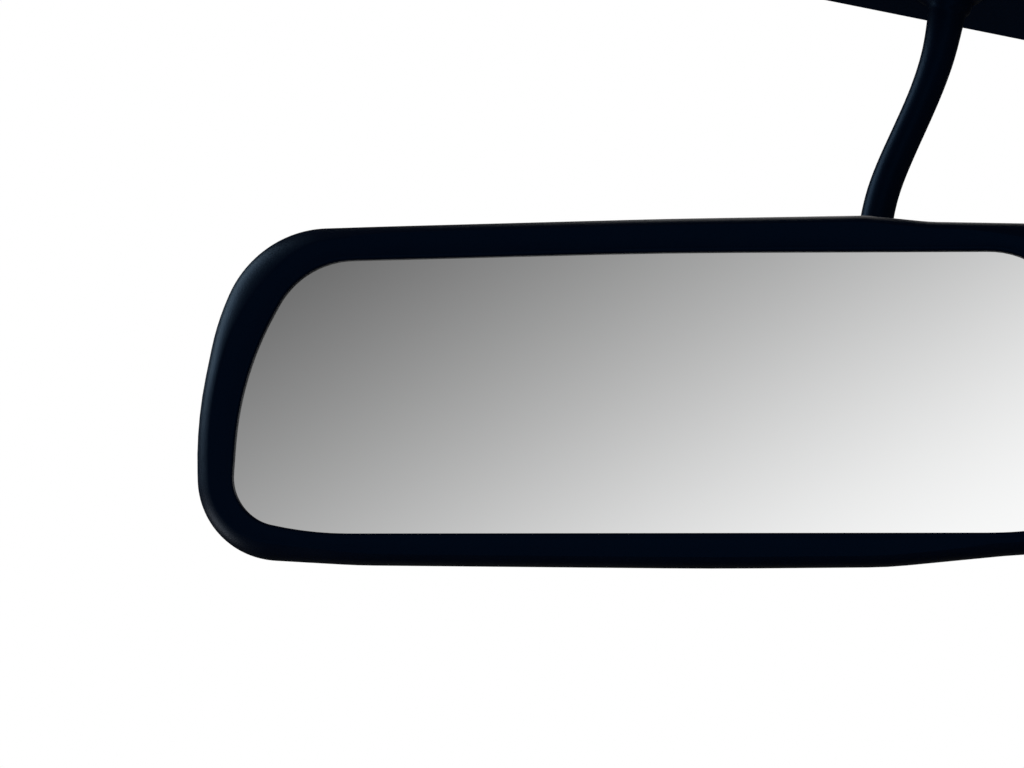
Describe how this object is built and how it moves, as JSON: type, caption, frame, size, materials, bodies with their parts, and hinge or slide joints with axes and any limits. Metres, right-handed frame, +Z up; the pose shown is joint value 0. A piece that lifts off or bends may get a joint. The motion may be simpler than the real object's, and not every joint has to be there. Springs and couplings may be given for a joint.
{
  "type": "interior rearview mirror",
  "caption": "Interior rearview mirror: flat glass in a rounded black housing, on a ball joint and a curved swivelling stalk under a covered header bracket.",
  "frame": {"origin": "centre of the bracket's mounting face, midway between the two header screw holes", "axes": "+Z up into the header, +X to the right of someone in the cabin looking forward, -Y towards the cabin"},
  "size_m": [0.2096, 0.1244, 0.1611],
  "materials": {
    "satin_plastic": "satin, fine spark-eroded grain, near-black with a navy tint",
    "stalk_paint": "satin black paint on a zinc casting",
    "mirror_silver": "silvered flat glass with a ground edge",
    "zinc_plate": "zinc-plated pressed steel",
    "die_cast": "as-cast light alloy",
    "bright_steel": "turned and polished",
    "spring_steel": "oiled spring steel",
    "bearing_plastic": "natural acetal",
    "foam_rubber": "closed-cell foam",
    "soft_rubber": "moulded rubber, matt",
    "black_screw": "black-passivated steel"
  },
  "bodies": {
    "base": {"base_plate": "zinc_plate", "base_cover": "satin_plastic", "cover_seal": "foam_rubber", "cover_screws": "black_screw", "swivel_bush": "bearing_plastic", "swivel_spring": "spring_steel"},
    "stalk": {"stalk": "stalk_paint", "thrust_washer": "spring_steel", "spindle_circlip": "spring_steel", "ball_stud": "bright_steel"},
    "liner": {"ball_liner": "bearing_plastic"},
    "cup": {"pressure_cup": "bearing_plastic"},
    "head": {"socket_bracket": "die_cast", "bracket_screws": "bright_steel", "socket_springs": "spring_steel", "socket_cap": "die_cast", "cap_screws": "bright_steel", "rear_shell": "satin_plastic", "neck_grommet": "soft_rubber", "bezel": "satin_plastic", "mirror_glass": "mirror_silver", "glass_pad": "foam_rubber", "case_screws": "black_screw"}
  },
  "joints": [
    {"name": "stalk_swivel", "type": "hinge", "parent": "base", "child": "stalk", "pos_m": [0, 0, -0.01], "axis": [0, 0, 1], "range_deg": [-25, 25]},
    {"name": "head_yaw", "type": "hinge", "parent": "stalk", "child": "liner", "pos_m": [-0.0255, 0.008, -0.116], "axis": [0, 0, 1], "range_deg": [-18, 18]},
    {"name": "head_pitch", "type": "hinge", "parent": "liner", "child": "cup", "pos_m": [-0.0255, 0.008, -0.116], "axis": [0.8807, -0.4729, 0.0259], "range_deg": [-12, 12]},
    {"name": "head_roll", "type": "hinge", "parent": "cup", "child": "head", "pos_m": [-0.0255, 0.008, -0.116], "axis": [0.4637, 0.8721, 0.1564], "range_deg": [-8, 8]}
  ]
}
